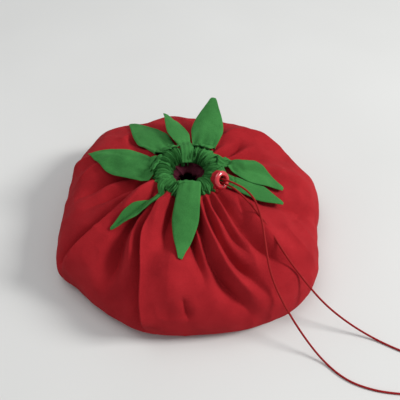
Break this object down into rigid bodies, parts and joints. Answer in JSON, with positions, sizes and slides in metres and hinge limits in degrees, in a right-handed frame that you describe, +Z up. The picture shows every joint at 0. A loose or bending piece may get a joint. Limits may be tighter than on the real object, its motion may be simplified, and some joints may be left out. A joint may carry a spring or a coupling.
{
  "type": "drawstring bag",
  "caption": "Round tomato-shaped cloth drawstring bag with a gathered casing, pointed hinged leaves, an eyelet and a free cord.",
  "frame": {"origin": "bottom centre of the bag, on the surface that it rests on, under the middle of its mouth", "axes": "+Z up through the mouth; -Y towards the front of the bag; +X towards the side where the drawstring comes out"},
  "size_m": [0.3975, 0.3457, 0.0989],
  "materials": {
    "red_cotton": "plain-woven quilting cotton, matt",
    "lining_cotton": "plain-woven dark maroon cotton, matt",
    "green_cotton": "plain-woven green cotton, matt, finely gathered",
    "red_enamel": "glossy red enamel on a pressed metal eyelet",
    "drawstring_cord": "fine braided dark red cord with a slight sheen"
  },
  "bodies": {
    "bag": {"outer_front_panel": "red_cotton", "outer_back_panel": "red_cotton", "outer_base": "red_cotton", "lining_front_panel": "lining_cotton", "lining_back_panel": "lining_cotton", "lining_base": "lining_cotton", "casing_outer_band": "green_cotton", "casing_inner_facing": "green_cotton", "eyelet_tab": "red_cotton", "eyelet_ring": "red_enamel", "eyelet_washer": "red_enamel", "drawstring_loop": "drawstring_cord"},
    "drawstring": {"drawstring_run_lower": "drawstring_cord", "drawstring_run_upper": "drawstring_cord", "drawstring_knot": "drawstring_cord"},
    "leaf_left": {"leaf_left_upper_ply": "green_cotton", "leaf_left_under_ply": "green_cotton"},
    "leaf_back_left": {"leaf_back_left_upper_ply": "green_cotton", "leaf_back_left_under_ply": "green_cotton"},
    "leaf_back": {"leaf_back_upper_ply": "green_cotton", "leaf_back_under_ply": "green_cotton"},
    "leaf_back_right": {"leaf_back_right_upper_ply": "green_cotton", "leaf_back_right_under_ply": "green_cotton"},
    "leaf_right": {"leaf_right_upper_ply": "green_cotton", "leaf_right_under_ply": "green_cotton"},
    "leaf_front_right": {"leaf_front_right_upper_ply": "green_cotton", "leaf_front_right_under_ply": "green_cotton"},
    "leaf_front": {"leaf_front_upper_ply": "green_cotton", "leaf_front_under_ply": "green_cotton"},
    "leaf_front_left": {"leaf_front_left_upper_ply": "green_cotton", "leaf_front_left_under_ply": "green_cotton"}
  },
  "joints": [
    {"name": "leaf_left_lift", "type": "hinge", "parent": "bag", "child": "leaf_left", "pos_m": [-0.0408, 0.0052, 0.0826], "axis": [0.5299, 0.848, 0], "range_deg": [0, 60]},
    {"name": "leaf_back_left_lift", "type": "hinge", "parent": "bag", "child": "leaf_back_left", "pos_m": [-0.025, 0.037, 0.0826], "axis": [0.848, 0.5299, 0], "range_deg": [0, 60]},
    {"name": "leaf_back_lift", "type": "hinge", "parent": "bag", "child": "leaf_back", "pos_m": [-0.004, 0.044, 0.087], "axis": [0.9511, 0.309, 0], "range_deg": [0, 60]},
    {"name": "leaf_back_right_lift", "type": "hinge", "parent": "bag", "child": "leaf_back_right", "pos_m": [0.018, 0.042, 0.0825], "axis": [0.9925, -0.1219, 0], "range_deg": [0, 60]},
    {"name": "leaf_right_lift", "type": "hinge", "parent": "bag", "child": "leaf_right", "pos_m": [0.044, 0.013, 0.082], "axis": [-0.4067, -0.9135, 0], "range_deg": [0, 60]},
    {"name": "leaf_front_right_lift", "type": "hinge", "parent": "bag", "child": "leaf_front_right", "pos_m": [0.046, -0.013, 0.082], "axis": [-0.2924, -0.9563, 0], "range_deg": [0, 12]},
    {"name": "leaf_front_lift", "type": "hinge", "parent": "bag", "child": "leaf_front", "pos_m": [0, -0.024, 0.093], "axis": [-0.9976, 0.0698, 0], "range_deg": [0, 60]},
    {"name": "leaf_front_left_lift", "type": "hinge", "parent": "bag", "child": "leaf_front_left", "pos_m": [-0.031, -0.026, 0.087], "axis": [-0.5736, 0.8192, 0], "range_deg": [0, 60]},
    {"name": "drawstring_pull", "type": "slide", "parent": "bag", "child": "drawstring", "axis": [0.6124, -0.6124, 0.5], "range_m": [0, 0.008]}
  ]
}
